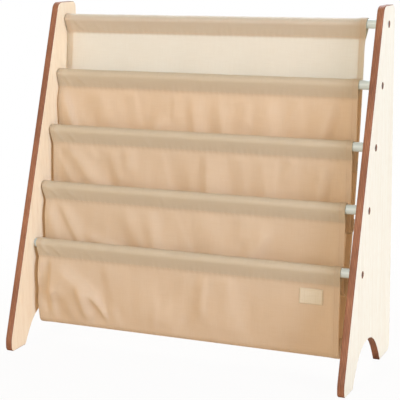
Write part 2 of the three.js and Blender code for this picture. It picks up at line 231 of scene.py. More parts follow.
colour = add_node(tree, "ShaderNodeMix", {0: PORE_SHARE, 6: wood.outputs[0], 7: pores.outputs[0]},
                  data_type="RGBA", blend_type="MULTIPLY")
# painted light: the inner faces are tinted warmer for the warm light that canvas and wood bounce between
# the sides, and the outer faces a little yellower against the cool lamp from the right
split = add_node(tree, "ShaderNodeSeparateXYZ", {0: place})
aside = add_node(tree, "ShaderNodeMath", {0: split.outputs["X"]}, operation="ABSOLUTE")
MIDDLE_OF_BOARD = 309 * MM
painted_warm_side = add_node(tree, "ShaderNodeMath", {0: aside.outputs[0], 1: MIDDLE_OF_BOARD},
                 operation="LESS_THAN")
painted_light_tint = add_node(tree, "ShaderNodeMix", {0: painted_warm_side.outputs[0], 6: linear("#fafcf0"),
                                        7: linear("#fff1d6")}, data_type="RGBA")
faced = add_node(tree, "ShaderNodeMix", {0: 1.0, 6: colour.outputs[2], 7: painted_light_tint.outputs[2]},
                 data_type="RGBA", blend_type="MULTIPLY")
tree.links.new(faced.outputs[2], shader.inputs["Base Color"])
relief = add_node(tree, "ShaderNodeBump", {"Height": fibres.outputs["Fac"], "Strength": 0.08,
                                           "Distance": 0.2 * MM})
tree.links.new(relief.outputs[0], shader.inputs["Normal"])

# %% Sawn edge
edge, tree, shader = new_material("stained_sawn_plywood_edge", Roughness=0.6)
place = add_node(tree, "ShaderNodeTexCoord").outputs["Object"]
PLY = 12 * MM / 9  # nine plies in the thickness
MOTTLE_LENGTH = 1 / 60  # along the edge, in metres
PATCH_SCALE = 14.0  # patches of stain about 70 mm across
split = add_node(tree, "ShaderNodeSeparateXYZ", {0: place})
across = add_node(tree, "ShaderNodeMath", {0: split.outputs["X"]}, operation="ABSOLUTE")
plies = add_node(tree, "ShaderNodeMath", {0: across.outputs[0], 1: math.pi / PLY}, operation="MULTIPLY")
ply_wave = add_node(tree, "ShaderNodeMath", {0: plies.outputs[0]}, operation="SINE")
ply_grain = add_node(tree, "ShaderNodeMapping", {"Vector": place, "Scale": (
    1 / PLY, 1 / MOTTLE_LENGTH, 1 / MOTTLE_LENGTH)})
mottle = add_node(tree, "ShaderNodeTexNoise", {"Vector": ply_grain.outputs[0], "Scale": 1.0,
                                               "Detail": 3.0})
patches = add_node(tree, "ShaderNodeTexNoise", {"Vector": place, "Scale": PATCH_SCALE, "Detail": 2.0})
uneven = add_node(tree, "ShaderNodeMix", {0: 0.5, 2: mottle.outputs["Fac"], 3: patches.outputs["Fac"]})
PLY_SHARE = 0.1  # how much a ply differs from its neighbours
level = add_node(tree, "ShaderNodeMath", {0: ply_wave.outputs[0], 1: PLY_SHARE, 2: uneven.outputs[0]},
                 operation="MULTIPLY_ADD")
stain = add_node(tree, "ShaderNodeValToRGB", {"Fac": level.outputs[0]})
set_ramp(stain, (0.25, "#63381f"), (0.5, "#875334"), (0.75, "#ad7653"))
tree.links.new(stain.outputs[0], shader.inputs["Base Color"])
SANDED_ROUND = 4 * MM  # the arrises are sanded round, so the edge shades across its width
arris = add_node(tree, "ShaderNodeBevel", {"Radius": SANDED_ROUND}, samples=6)
relief = add_node(tree, "ShaderNodeBump", {"Height": level.outputs[0], "Strength": 0.25,
                                           "Distance": 0.3 * MM, "Normal": arris.outputs[0]})
tree.links.new(relief.outputs[0], shader.inputs["Normal"])

# %% [markdown]
# The two sides are right as they come from the frame, so they stay. Each face that looks along
# the rods is veneer, and every other face, in the recesses too, is a sawn edge. A frame mesh is
# made of loose triangles, so Weld joins them before Weighted Normal rounds the shading of the
# curved edges and keeps the veneer flat.

# %% Dress the sides
for side in ("left", "right"):
    panel = nodes[f"side_panel_{side}"]
    panel.data.materials.clear()
    panel.data.materials.append(birch)
    panel.data.materials.append(edge)
    for face in panel.data.polygons:
        along_rods = abs(face.normal.x) > 0.9
        face.material_index = 0 if along_rods else 1
        face.use_smooth = True
    panel.modifiers.new("join_triangles", "WELD").merge_threshold = 0.02 * MM
    flatten = panel.modifiers.new("round_shading", "WEIGHTED_NORMAL")
    flatten.mode, flatten.weight, flatten.keep_sharp = "FACE_AREA_WITH_ANGLE", 90, False
    print(panel.name, "has", len(panel.data.polygons), "faces")

# %% [markdown]
# ## Turned pieces
#
# Rods, end plugs and screws are round, so each is a short profile that is spun about its axis. The
# profile is a chain of points, each a place along the rod and a radius in millimetres, and Spin
# turns it into a closed body. The rods are steel tube with a white powder coat: sprayed and
# baked, it is even and half matt, with a very faint orange peel.

# %% Helpers for pieces
def add_piece(name, bm, material, stands_for=(), smooth_degrees=40):
    """Makes the bmesh an object in the row's frame, rides it on the shelf and shades it smooth."""
    mesh = bpy.data.meshes.new(name)
    bm.to_mesh(mesh)
    bm.free()
    mesh.materials.append(material)
    mesh.shade_smooth()
    mesh.set_sharp_from_angle(angle=math.radians(smooth_degrees))
    piece = bpy.data.objects.new(name, mesh)
    bpy.context.scene.collection.objects.link(piece)
    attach(piece, "root")
    if stands_for:
        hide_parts(*stands_for)
    return piece


def settle_order(bm):
    """Ranks edges and faces by their corners, as Spin and Extrude shuffle them from run to run."""
    bm.verts.index_update()
    count = len(bm.verts)

    def rank(element):
        lowest = sorted(vert.index for vert in element.verts)[:3]
        return functools.reduce(lambda total, index: total * count + index, lowest, 0)

    bm.edges.sort(key=rank)
    bm.faces.sort(key=rank)


def spin_profile(profile, steps=48):
    """A body turned about the X axis, from places along X and radii in millimetres."""
    bm = bmesh.new()
    chain = [bm.verts.new((along * MM, 0, radius * MM)) for along, radius in profile]
    edges = [bm.edges.new(pair) for pair in zip(chain, chain[1:])]
    bmesh.ops.spin(bm, geom=chain + edges, cent=(0, 0, 0), axis=(1, 0, 0), angle=2 * math.pi,
                   steps=steps, use_merge=True)
    bmesh.ops.remove_doubles(bm, verts=bm.verts, dist=0.01 * MM)
    settle_order(bm)
    bmesh.ops.recalc_face_normals(bm, faces=bm.faces)
    return bm


def rod_axis(number):
    low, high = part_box(f"rod_{number}")
    return (low + high) / 2


# %% Powder coat, plastic and zinc
def pebbled_skin(name, hex_colour, roughness, grain, detail, strength, depth):
    """An even colour with a faint noise in its surface. Grain and depth are in metres."""
    material, tree, shader = new_material(name, Base_Color=linear(hex_colour), Roughness=roughness)
    place = add_node(tree, "ShaderNodeTexCoord").outputs["Object"]
    bumps = add_node(tree, "ShaderNodeTexNoise", {"Vector": place, "Scale": 1 / grain, "Detail": detail})
    relief = add_node(tree, "ShaderNodeBump", {"Height": bumps.outputs["Fac"], "Strength": strength,
                                               "Distance": depth})
    tree.links.new(relief.outputs[0], shader.inputs["Normal"])
    return material


PEEL = 2.5 * MM  # orange peel of a sprayed and baked coat
powder = pebbled_skin("white_powder_coated_steel", "#cfe2e8", 0.38, PEEL, 1.0, 0.08, 0.1 * MM)
SPARK_GRAIN = 0.8 * MM  # texture of the mould
plastic = pebbled_skin("moulded_white_polypropylene", "#dfe0dc", 0.45, SPARK_GRAIN, 2.0, 0.15,
                       0.05 * MM)

zinc, tree, shader = new_material("zinc_plated_steel", Metallic=1.0, Roughness=0.34)
SPANGLE = 1.2 * MM  # patches of a thin zinc plating
place = add_node(tree, "ShaderNodeTexCoord").outputs["Object"]
turned = add_node(tree, "ShaderNodeTexNoise", {"Vector": place, "Scale": 1 / SPANGLE, "Detail": 2.0})
tone = add_node(tree, "ShaderNodeValToRGB", {"Fac": turned.outputs["Fac"]})
set_ramp(tone, (0.3, "#8f8d89"), (0.7, "#b9b7b2"))
tree.links.new(tone.outputs[0], shader.inputs["Base Color"])

# %% Rods, plugs and screws
# millimetres, and places along a rod are measured from its middle
ROD_RADIUS, BORE_RADIUS = 8.0, 6.8
PLUG_FACE = 302.7  # the flange bears on the side panel here
FLANGE, SHANK = 1.5, 24.0
PLUG_NECK = PLUG_FACE - FLANGE
TUBE_END = PLUG_NECK - 0.3
PRESS_FIT, SCREW_PLAY = 0.3, 0.3  # between plug and tube, and between screw and plug
HEAD_TOP, HEAD_RADIUS, HEAD_HEIGHT = 313.7, 5.2, 3.4
SCREW_RADIUS, SCREW_LENGTH = 3.0, 26.0
SOCKET_RADIUS, SOCKET_DEPTH = 2.3, 1.8


def screw_body():
    """A socket head screw: the head is spun, and a hexagon is bridged to its rim and sunk."""
    seat = HEAD_TOP - HEAD_HEIGHT
    tip = seat - SCREW_LENGTH
    rim = SOCKET_RADIUS + 0.7
    bm = spin_profile([
        (tip, 0), (tip, SCREW_RADIUS - 0.5), (tip + 0.5, SCREW_RADIUS), (seat, SCREW_RADIUS),
        (seat, HEAD_RADIUS - 0.2), (seat + 0.2, HEAD_RADIUS), (HEAD_TOP - 0.9, HEAD_RADIUS),
        (HEAD_TOP - 0.35, HEAD_RADIUS - 0.3), (HEAD_TOP, HEAD_RADIUS - 0.9), (HEAD_TOP, rim)])
    rim_edges = [e for e in bm.edges if e.is_boundary]
    facing = Matrix.Translation((HEAD_TOP * MM, 0, 0)) @ Matrix.Rotation(math.pi / 2, 4, "Y")
    bmesh.ops.create_circle(bm, segments=6, radius=SOCKET_RADIUS * MM, matrix=facing)
    bmesh.ops.subdivide_edges(bm, edges=[e for e in bm.edges if e.is_wire], cuts=7)
    sides = [e for e in bm.edges if e.is_wire]
    bmesh.ops.bridge_loops(bm, edges=rim_edges + sides)
    walls = bmesh.ops.extrude_edge_only(bm, edges=sides)["geom"]
    sunk = [g for g in walls if isinstance(g, bmesh.types.BMVert)]
    bmesh.ops.translate(bm, verts=sunk, vec=(-SOCKET_DEPTH * MM, 0, 0))
    bmesh.ops.contextual_create(bm, geom=sunk + [e for e in bm.edges if e.is_boundary])
    bmesh.ops.recalc_face_normals(bm, faces=bm.faces)
    settle_order(bm)
    return bm


for number in range(1, 6):
    at_rod = Matrix.Translation(rod_axis(number))
    tube = spin_profile([
        (-TUBE_END, BORE_RADIUS), (-TUBE_END, ROD_RADIUS - 0.3), (-TUBE_END + 0.3, ROD_RADIUS),
        (TUBE_END - 0.3, ROD_RADIUS), (TUBE_END, ROD_RADIUS - 0.3), (TUBE_END, BORE_RADIUS),
        (-TUBE_END, BORE_RADIUS)], steps=64)
    bmesh.ops.transform(tube, matrix=at_rod, verts=tube.verts)
    add_piece(f"tube_{number}", tube, powder, [f"rod_{number}"])
    for side, turn in (("right", 0), ("left", math.pi)):
        at_end = at_rod @ Matrix.Rotation(turn, 4, "Z")
        hole, shank = SCREW_RADIUS + SCREW_PLAY, BORE_RADIUS - PRESS_FIT
        tip = PLUG_NECK - SHANK
        plug = spin_profile([
            (tip, hole), (tip, shank - 1.5), (tip + 1.5, shank), (PLUG_NECK, shank),
            (PLUG_NECK, ROD_RADIUS - 0.2), (PLUG_NECK + 0.25, ROD_RADIUS),
            (PLUG_FACE - 0.25, ROD_RADIUS), (PLUG_FACE, ROD_RADIUS - 0.25), (PLUG_FACE, hole),
            (tip, hole)])
        bmesh.ops.transform(plug, matrix=at_end, verts=plug.verts)
        add_piece(f"plug_{number}_{side}", plug, plastic, [f"end_plug_{number}_{side}"])
        screw = screw_body()
        bmesh.ops.transform(screw, matrix=at_end, verts=screw.verts)
        add_piece(f"socket_screw_{number}_{side}", screw, zinc,
                  [f"screw_{number}_{side}"], 30)
print("rods, plugs and screws are in")

# %% [markdown]
# ## Canvas
#
# The sling is undyed cotton canvas, a plain weave of about 0.8 mm threads. It sends back part of
# the light and lets part of it through, so a single layer with light behind it looks pale, and
# doubled hems and sleeves look dark. A Principled shader for what comes back is mixed with a
# Translucent one for what comes through. On top of that, shade is painted into the sleeves'
# colour, and the top field of the back sheet gets a copy of the canvas in painted backlight.
# The threads are too fine to show at this size, so the weave is drawn at 1.8 mm and faintly,
# with longer slubs, the thick places in spun yarn. The pattern reads the cloth's own flat map.

# %% Canvas and thread
WEAVE = 1.8 * MM
WEAVE_SHARE = 0.04  # the rest of the tone's change is slubs
SLUB_LENGTH, SLUB_WIDTH = 30 * MM, 1.6 * MM
SLEEVE_RUN = 80 * MM  # flat length of a sleeve, from its turned end round the rod to the seam


def canvas_material(name, deep, plain, pale, through, share, sleeve=0.0):
    """Cloth of three tones and a colour for the share of light that comes through. Shade is painted on
    the flat cut from its start to the length sleeve, in metres.
    """
    material, tree, shader = new_material(name, Roughness=0.52, Sheen_Weight=0.1, Sheen_Roughness=0.5)
    flat_place = add_node(tree, "ShaderNodeUVMap", uv_map="flat_cut").outputs["UV"]
    threads = add_node(tree, "ShaderNodeMapping", {"Vector": flat_place, "Scale": (
        math.pi / WEAVE, math.pi / WEAVE, 1)})
    split = add_node(tree, "ShaderNodeSeparateXYZ", {0: threads.outputs[0]})
    warp = add_node(tree, "ShaderNodeMath", {0: split.outputs["X"]}, operation="SINE")
    weft = add_node(tree, "ShaderNodeMath", {0: split.outputs["Y"]}, operation="SINE")
    weave = add_node(tree, "ShaderNodeMath", {0: warp.outputs[0], 1: weft.outputs[0]},
                     operation="MULTIPLY")
    slubs = []
    for across, along in ((SLUB_LENGTH, SLUB_WIDTH), (SLUB_WIDTH, SLUB_LENGTH)):
        stretched = add_node(tree, "ShaderNodeMapping", {"Vector": flat_place, "Scale": (
            1 / across, 1 / along, 1)})
        slubs.append(add_node(tree, "ShaderNodeTexNoise", {"Vector": stretched.outputs[0], "Scale": 1.0,
                                                           "Detail": 2.0}).outputs["Fac"])
    yarn = add_node(tree, "ShaderNodeMath", {0: slubs[0], 1: slubs[1]}, operation="ADD")
    level = add_node(tree, "ShaderNodeMath", {0: weave.outputs[0], 1: WEAVE_SHARE, 2: yarn.outputs[0]},
                     operation="MULTIPLY_ADD")
    half = add_node(tree, "ShaderNodeMath", {0: level.outputs[0], 1: 0.5}, operation="MULTIPLY")
    tone = add_node(tree, "ShaderNodeValToRGB", {"Fac": half.outputs[0]})
    set_ramp(tone, (0.3, deep), (0.5, plain), (0.72, pale))
    # painted shade: the sleeve's colour is made deeper and cooler, standing in for the light that two
    # layers with the rod behind them keep from coming through
    on_flat = add_node(tree, "ShaderNodeSeparateXYZ", {0: flat_place})
    sleeve_shade_mask = add_node(tree, "ShaderNodeMath", {0: on_flat.outputs["Y"], 1: sleeve},
                       operation="LESS_THAN")
    painted_sleeve_shade = add_node(tree, "ShaderNodeMix", {0: sleeve_shade_mask.outputs[0], 6: tone.outputs[0],
                                              7: linear("#f5fbff")},
                      data_type="RGBA", blend_type="MULTIPLY")
    tree.links.new(painted_sleeve_shade.outputs[2], shader.inputs["Base Color"])
    relief = add_node(tree, "ShaderNodeBump", {"Height": level.outputs[0], "Strength": 0.2,
                                               "Distance": 0.2 * MM})
    tree.links.new(relief.outputs[0], shader.inputs["Normal"])
    glow = add_node(tree, "ShaderNodeBsdfTranslucent", {"Color": linear(through)})
    cloth = add_node(tree, "ShaderNodeMixShader", {0: share, 1: shader.outputs[0], 2: glow.outputs[0]})
    tree.links.new(cloth.outputs[0], tree.nodes["Material Output"].inputs["Surface"])
    return material


canvas = canvas_material("undyed_cotton_canvas", "#dccfb6", "#e2d6bf", "#e7decb",
                         through="#fbebd7", share=0.5, sleeve=SLEEVE_RUN)
# painted light: the top field of the back sheet has nothing behind it, so the same canvas gets a copy of
# its own, with other tones and a cool colour for what comes through, painted to look as pale as backlit
# cotton with white light between its threads
backlit_canvas_copy = canvas_material("undyed_cotton_canvas_painted_backlight", "#ebc7a9", "#f1ceb2", "#f5d6bd",
                              through="#dff5f5", share=0.5)
label_weave = canvas_material("woven_cotton_label", "#ddd1b6", "#e6dcc4", "#ece4d0",
                              through="#f0e8d8", share=0.2)

thread, tree, shader = new_material("cotton_sewing_thread", Roughness=0.8, Sheen_Weight=0.2)
TWIST = 0.9 * MM  # turns of the thread's plies, drawn coarse
place = add_node(tree, "ShaderNodeTexCoord").outputs["Object"]
twist = add_node(tree, "ShaderNodeTexWave", {"Vector": place, "Scale": 0.3 / TWIST, "Distortion": 1.0},
                 bands_direction="DIAGONAL")
tone = add_node(tree, "ShaderNodeValToRGB", {"Fac": twist.outputs["Fac"]})
set_ramp(tone, (0.2, "#d5bd9c"), (0.8, "#e7d3b5"))
tree.links.new(tone.outputs[0], shader.inputs["Base Color"])

# %% [markdown]
# ## How a cloth hangs
#
# A maker cuts each cloth flat, hems its sides, turns its top round a rod and sews it to itself as
# a sleeve. A pocket front then falls a little forward as a belly, turns under in a tight fold and
# rises to the back sheet, where it is sewn. In side view that is one line, so the script writes
# that line first. Every cloth is then a flat grid, and each of its points is carried to its place
# along the line.

# %% Side view of the sling, in millimetres
CLOTH = 0.8
HEM, HEM_RADIUS = 11.0, 0.5
SLEEVE_DROP, SLEEVE_RADIUS, SLEEVE_LIFT = 25.0, 9.9, 1.0
SEAM_ABOVE_END = 3.0  # the sleeve is sewn a little above the turned layer's end
TURNED_GAP = 1.3 * CLOTH  # between the middles of the front layer and of the turned one
POCKET_DEPTH, POCKET_LEAN, POCKET_BELLY, POCKET_FLOOR = 148.0, 4.0, 9.0, 36.0
FOOT_HEM, FOOT_GAP, FOOT_RADIUS = 14.0, 1.5, 11.0
SHEET_LEAN, SHEET_BOW = 1.0, 0.5
SLEEVE_STEPS, FRONT_STEPS, FOOT_STEPS, SHEET_STEPS = 16, 16, 12, 40

rods = {n: Vector((rod_axis(n).y, rod_axis(n).z)) / MM for n in range(1, 6)}
sling_left, sling_right = (corner.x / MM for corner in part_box("pocket_front_1"))
sling_width = sling_right - sling_left
sheet_top = rods[1] - Vector((SHEET_LEAN, SLEEVE_DROP))
sheet_foot = rods[5] + Vector((POCKET_FLOOR - POCKET_BELLY, POCKET_FLOOR / 2 - POCKET_DEPTH))


def sheet_at(z):
    """Depth of the back sheet at a height: nearly upright under its seam, then bowing forward."""
    down = (sheet_top.y - z) / (sheet_top.y - sheet_foot.y)
    forward = (1 - SHEET_BOW) * down + SHEET_BOW * down * down
    return sheet_top.x + (sheet_foot.x - sheet_top.x) * forward


def pocket_foot(rod):
    """Bottom, front and hem of a pocket's foot. The hem lies in front of the back sheet."""
    axis = rods[rod]
    bottom, front = axis.y - POCKET_DEPTH, axis.x - POCKET_BELLY
    lean = math.atan(sheet_at(bottom + 1) - sheet_at(bottom))
    behind = FOOT_GAP / math.cos(lean)
    room = (sheet_at(bottom) - behind - front) * math.cos(lean)
    radius = room / (1 + math.cos(lean) - math.sin(lean))
    hem_start = bottom + radius * (1 - math.sin(lean))
    return bottom, front, min(FOOT_RADIUS, radius), behind, hem_start, hem_start + FOOT_HEM


def sleeve_line(rod, seam):
    """Up behind the rod, over it and down in front, from the turned end to the seam's height."""
    centre = rods[rod] - Vector((0, SLEEVE_LIFT))
    line = [seam + Vector((TURNED_GAP, 0))]
    for i in range(SLEEVE_STEPS + 1):
        angle = math.pi * i / SLEEVE_STEPS
        line.append(centre + SLEEVE_RADIUS * Vector((math.cos(angle), math.sin(angle))))
    return line


def pocket_line(rod):
    """The sleeve, the front, the round of the foot, its floor and the hem on the back sheet."""
    bottom, front, radius, behind, hem_start, hem_end = pocket_foot(rod)
    seam = rods[rod] - Vector((POCKET_LEAN, SLEEVE_DROP))
    centre = Vector((front + radius, bottom + radius))
    line = sleeve_line(rod, seam)
    for i in range(FRONT_STEPS):
        down = i / FRONT_STEPS
        line.append(Vector((seam.x + (front - seam.x) * down * (2 - down),
                            seam.y + (centre.y - seam.y) * down)))
    hem = Vector((sheet_at(hem_start) - behind, hem_start))
    rise = hem - centre  # the foot's floor leaves the round where it points to the hem
    turned = math.pi + math.atan2(rise.y, rise.x) - math.acos(min(radius / rise.length, 1))
    for i in range(FOOT_STEPS + 1):
        angle = turned * i / FOOT_STEPS
        line.append(centre - radius * Vector((math.cos(angle), math.sin(angle))))
    # the floor of the foot sags a little before its hem
    line.append(line[-1].lerp(hem, 0.5))
    line.append(line[-1].lerp(hem, 0.75) - Vector((0.4, 0.2)))
    line.append(Vector((sheet_at(hem_start + 4) - behind, hem_start + 4)))
    line.append(Vector((sheet_at(hem_end) - behind, hem_end)))
    return line


def sheet_line():
    """The sleeve and the sheet down to where the hem of the lowest pocket starts."""
    line = sleeve_line(1, sheet_top)
    run = pocket_foot(5)[4] - sheet_top.y
    for i in range(SHEET_STEPS + 1):
        z = sheet_top.y + run * i / SHEET_STEPS
        line.append(Vector((sheet_at(z), z)))
    return line


_, lowest_front, _, _, lowest_hem, _ = pocket_foot(5)
print("the lowest pocket is", round(sheet_at(lowest_hem) - lowest_front, 1), "mm deep at its foot")

# %% [markdown]
# ## Folds
#
# Canvas that hangs from a rod has slack across its width, and the slack gathers in soft upright
# folds. At the upper left of each pocket the cloth is pulled towards the side that the sling has
# slid to, which leaves slanting creases. The long waves are the ones that the frame's solids
# have. The creases were first placed from the photograph and then moved until their shading
# agreed with it. Each is a ridge from one place on the cloth to another, given as across and down
# in millimetres, with a width on its left and on its right and a height. As the light comes from
# the right, a ridge that is steep on its left shows a crisp dark edge there. A last number, where
# there is one, narrows the ridge towards its end.

# %% Folds and creases
WAVES = ((4, 0.1), (5, 0.55))  # folds across the sling, and where they start as a share of one
TIER_TURN = 0.37
CALM_EDGE, CALM_FADE = 75.0, 80.0
FRONT_FOLD, BACK_FOLD = 3.0, 2.0
CREASE_REACH, CREASE_WIDTH, CREASE_DEPTH = 0.17, 24.0, 3.5
END_RISE, END_START = 2.5, 0.3  # how a crease grows from its end, as shares of its length
FRONT_RIPPLE = (0.9, 20, 80)  # height, width and length of the small unevenness of the fronts
SHEET_RIPPLE = (0.8, 24, 110)

creases = {
    2: [(8, 23, 44, 122, 32, 8, 6.7), (80, 19, 112, 98, 23, 14, 3.6),
        (152, 10, 166, 101, 19, 9, 2.4), (217, 74, 153, 145, 17, 12, 6.5),
        (238, 28, 239, 78, 6, 16, 1.9), (276, 33, 285, 146, 13, 17, 6.0),
        (323, 32, 334, 146, 29, 12, 3.3), (379, 37, 377, 81, 14, 10, 2.3),
        (416, 33, 422, 146, 25, 17, 7.1), (477, 25, 432, 109, 6, 6, 1.0),
        (531, 34, 502, 146, 26, 11, 8.0), (105, 28, 133, 77, 25, 16, 1.9)],
    3: [(8, 32, 61, 114, 6, 6, 0.8), (35, 23, 113, 114, 16, 17, 6.2),
        (123, 27, 152, 97, 14, 16, 4.1), (157, 10, 161, 74, 11, 16, 3.6),
        (222, 11, 243, 115, 19, 9, 2.0), (266, 12, 286, 117, 14, 13, 1.4),
        (315, 23, 321, 118, 10, 25, 3.7), (378, 21, 390, 146, 18, 22, 3.2),
        (416, 10, 426, 117, 12, 10, 2.0), (442, 10, 437, 112, 11, 6, 0.9),
        (484, 10, 455, 73, 9, 13, 2.3), (530, 28, 515, 146, 18, 15, 7.5),
        (74, 10, 95, 56, 11, 10, 2.2)],
    4: [(10, 28, 34, 114, 32, 13, 5.2), (37, 28, 98, 129, 8, 14, 4.9),
        (84, 83, 159, 108, 12, 11, 5.0), (169, 31, 214, 118, 19, 18, 6.3),
        (212, 29, 245, 146, 18, 19, 7.1), (258, 17, 305, 111, 14, 6, 0.8),
        (321, 28, 356, 146, 32, 29, 6.4), (396, 10, 394, 76, 11, 32, 2.3),
        (450, 42, 389, 129, 18, 11, 6.3)],
    5: [(48, 42, 131, 97, 32, 12, 9.7), (119, 83, 149, 128, 7, 8, 5.6, 0.5),
        (95, 70, 112, 136, 8, 10, 5.8), (37, 73, 41, 146, 9, 8, 5.3), (17, 17, 1, 92, 10, 7, 4.2),
        (38, 27, 39, 100, 7, 30, 7.2), (147, 25, 171, 116, 13, 28, 3.4),
        (249, 79, 238, 146, 9, 8, 1.9), (248, 100, 292, 130, 28, 32, 4.7),
        (303, 10, 287, 111, 11, 8, 1.4), (336, 27, 332, 107, 12, 10, 3.6),
        (379, 20, 397, 142, 24, 19, 5.1), (84, 62, 110, 91, 10, 15, 0.8),
        (156, 100, 172, 146, 15, 10, 3.5), (1, 87, 32, 146, 26, 10, 4.0),
        (72, 88, 80, 146, 12, 19, 2.7), (485, 39, 498, 125, 22, 23, 2.1)],
}
sleeve_creases = {
    1: [(16, -4, 36, 22, 2, 4, 1.1), (60, 4, 74, 24, 2, 4, 0.6), (330, -2, 336, 24, 3, 5, 0.5)],
    2: [(14, -2, 26, 24, 2, 4, 1.1), (40, 2, 62, 24, 2, 5, 0.9), (120, 6, 130, 24, 3, 5, 0.5),
        (290, 0, 294, 24, 3, 5, 0.5)],
    3: [(8, -4, 24, 24, 2, 4, 1.1), (36, 2, 54, 24, 2, 4, 0.9), (190, 2, 200, 24, 3, 6, 0.6)],
    4: [(12, -2, 34, 24, 2, 4, 1.1), (50, 4, 70, 24, 2, 4, 0.8), (240, 2, 252, 24, 3, 6, 0.5)],
    5: [(8, -4, 22, 22, 2, 4, 1.3), (30, 0, 56, 24, 2, 4, 1.0), (100, 4, 116, 24, 3, 5, 0.6)],
}


def smooth_rise(value):
    """Rises from nought to one without a corner at either end."""
    value = min(max(value, 0), 1)
    return value * value * (3 - 2 * value)


def fold_wave(x, tier):
    """The long waves across the sling, which are turned from tier to tier and calm at the right."""
    across = (x - sling_left) / sling_width
    turn = tier * TIER_TURN
    heights = [math.cos(2 * math.pi * (count * across + start + turn)) for count, start in WAVES]
    return smooth_rise((sling_right - CALM_EDGE - x) / CALM_FADE) * sum(heights) / len(heights)


def ripple(x, z, size, seed):
    height, width, length = size
    return height * noise.noise(Vector((x / width, z / length, seed)))


def crease_height(across, down, crease):
    """Height of one crease at a place on the cloth. It fades towards both of its ends."""
    x0, d0, x1, d1, left, right, height, *narrowing = crease
    run = Vector((x1 - x0, d1 - d0))
    spot = Vector((across - x0, down - d0))
    way = spot.dot(run) / run.length_squared
    aside = (spot.x * run.y - spot.y * run.x) / run.length
    ends = smooth_rise(END_RISE * way + END_START) * smooth_rise(END_RISE * (1 - way) + END_START)
    if ends == 0 or abs(aside) > 3 * (right + left):
        return 0
    width = right if aside > 0 else left
    if narrowing:  # the width at the end, as a share of the width at the start
        width *= 1 + (narrowing[0] - 1) * min(max(way, 0), 1)
    return height * ends * math.exp(-(aside / width) ** 2)


def pocket_fold(rod, x, y, z):
    """How far a point of a pocket front stands out of its plain line."""
    _, front, radius, _, _, hem_end = pocket_foot(rod)
    drop = rods[rod].y - z
    down = (drop - SLEEVE_DROP) / (POCKET_DEPTH - SLEEVE_DROP)
    swell = smooth_rise(2 * down) * smooth_rise(3 * (1 - down))
    middle = sling_left + down * sling_width * CREASE_REACH
    slant = CREASE_DEPTH * math.exp(-((x - middle) / CREASE_WIDTH) ** 2)
    flat_foot = smooth_rise((y - front) / (2 * radius)) if z < hem_end + 1 else 0
    fold = swell * (FRONT_FOLD * fold_wave(x, rod - 1) + slant)
    # creases start just above the sleeve's seam and end at the foot
    hold = smooth_rise((drop - SLEEVE_DROP + 4) / 16) * smooth_rise(3 * (1 - down) + 0.15)
    fold += hold * sum(crease_height(x - sling_left, drop, c) for c in creases[rod])
    fold += hold * ripple(x, drop, FRONT_RIPPLE, rod * 7.3)
    return (1 - flat_foot) * fold


def sheet_fold(x, y, z):
    """The same for the back sheet, which is flat along every pocket's hem. It needs no depth."""
    upper = sheet_top.y
    for rod in range(2, 6):
        hem_start, hem_end = pocket_foot(rod)[4:]
        if hem_end < z < upper:
            between = (upper - z) / (upper - hem_end)
            swell = math.sin(math.pi * between) ** 2
            return swell * (BACK_FOLD * fold_wave(x, 0) + ripple(x, z, SHEET_RIPPLE, 3.1))
        upper = hem_start
    return 0


# %% [markdown]
# ## From the flat cut to the hung cloth
#
# The side hems are turned once to the inside, round a tight fold. The grid has close columns
# there and even ones in between. The flat place of each point is kept as a map, in metres, so
# that the weave keeps its scale and runs true over sleeve, belly and foot. Each cloth has slid
# along its rod by its own few millimetres and draws in below its sleeve, as the photograph shows.

# %% Hang the cloths
# millimetres from the sling's sides, at the rod and below it: left edge, then right edge
slid = {1: ((0.5, 3.0), (3.0, -2.0)), 2: ((0.5, 2.4), (0.5, -2.0)), 3: ((1.5, 6.0), (1.0, 0.0)),
        4: ((1.5, 6.5), (0.5, -0.5)), 5: ((6.0, 8.5), (4.0, 2.5))}
EDGE_START, EDGE_REACH = 8.0, 50.0  # the sides draw in from a little above the rod's axis
HEM_FADE, SEAM_FADE = 8.0, 10.0
WAY_STEP = 1.2  # to either side, where the direction of the line is taken
PUCKER_HEIGHT, PUCKER_REACH, PUCKER_PITCH = 0.3, 7, 11  # where the sleeve's seam draws the cloth
SLEEVE_RIPPLE = (0.35, 22, 30)
SLEEVE_HEM = 0.4  # a sleeve stands out by this much more at its folded edges
GRID = 3.0  # between the points of a cloth


def turn_hem(from_edge):
    """Distance from the folded edge, and the layer's offset, of a place on the flat cloth."""
    half = math.pi * HEM_RADIUS / 2
    if abs(from_edge) <= half:
        angle = from_edge / HEM_RADIUS
        return HEM_RADIUS * (1 - math.cos(angle)), HEM_RADIUS * math.sin(angle)
    return HEM_RADIUS + abs(from_edge) - half, math.copysign(HEM_RADIUS, from_edge)


